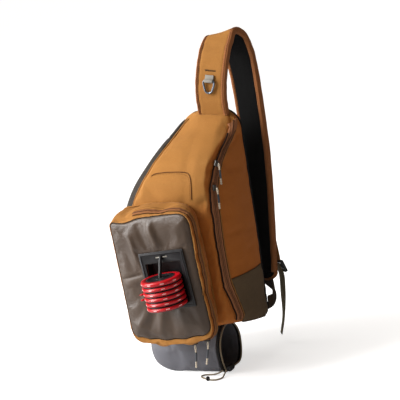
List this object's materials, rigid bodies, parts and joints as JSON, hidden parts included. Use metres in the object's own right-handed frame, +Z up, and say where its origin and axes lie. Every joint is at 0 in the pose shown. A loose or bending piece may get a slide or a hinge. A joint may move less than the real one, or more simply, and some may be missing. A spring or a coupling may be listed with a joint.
{
  "type": "fishing tackle sling bag",
  "caption": "Wedge shaped canvas sling bag with one padded strap, a side zip, a raised front pocket that carries a dock of line spools, and an open sleeve across the bottom.",
  "frame": {"origin": "centre of the flattened foot of the lower sleeve, where the bag stands", "axes": "+Z up, along the bag's height; -Y towards the front pocket; +X towards the open end of the lower sleeve"},
  "size_m": [0.2598, 0.2959, 0.5326],
  "materials": {
    "canvas": "matte",
    "coated_cloth": "satin",
    "zip_tape": "matte",
    "spacer_mesh": "matte",
    "binding": "matte",
    "sleeve_cloth": "matte",
    "black_plastic": "satin",
    "red_band": "gloss",
    "gunmetal": "satin",
    "cord": "matte",
    "olive_webbing": "matte",
    "brown_webbing": "matte",
    "pale_webbing": "matte"
  },
  "bodies": {
    "root": {"back_panel": "spacer_mesh", "body_shell": "canvas", "bungee_loop": "cord", "cord_lock": "black_plastic", "dock_cord": "cord", "dock_tray": "black_plastic", "draw_cord": "cord", "ladder_lock": "black_plastic", "left_gusset": "coated_cloth", "loop_bead": "black_plastic", "lower_sleeve": "sleeve_cloth", "main_pull_lower": "cord", "main_pull_upper": "cord", "main_slider_lower": "gunmetal", "main_slider_upper": "gunmetal", "main_zip_tape": "zip_tape", "pocket_gusset": "canvas", "pocket_panel": "coated_cloth", "pocket_pull_left": "cord", "pocket_pull_right": "cord", "pocket_slider_left": "gunmetal", "pocket_slider_right": "gunmetal", "pocket_zip_tape": "zip_tape", "ring_keeper": "pale_webbing", "side_patch": "coated_cloth", "sleeve_hem": "spacer_mesh", "slip_pocket_piping": "zip_tape", "spool_1": "black_plastic", "spool_2": "black_plastic", "spool_3": "black_plastic", "spool_4": "black_plastic", "spool_5": "black_plastic", "spool_6": "black_plastic", "spool_band_1": "red_band", "spool_band_2": "red_band", "spool_band_3": "red_band", "spool_band_4": "red_band", "spool_band_5": "red_band", "spool_band_6": "red_band", "strap_binding_left": "binding", "strap_binding_right": "binding", "strap_lining": "spacer_mesh", "strap_shell": "canvas", "strap_tab": "canvas", "strap_webbing": "brown_webbing", "webbing_tail": "olive_webbing"},
    "ring": {"d_ring": "gunmetal"}
  },
  "joints": [
    {"name": "ring_swing", "type": "hinge", "parent": "root", "child": "ring", "pos_m": [0.09221, 0.02473, 0.45853], "axis": [-0.9853, -0.0354, 0.1673], "range_deg": [0, 150]}
  ]
}
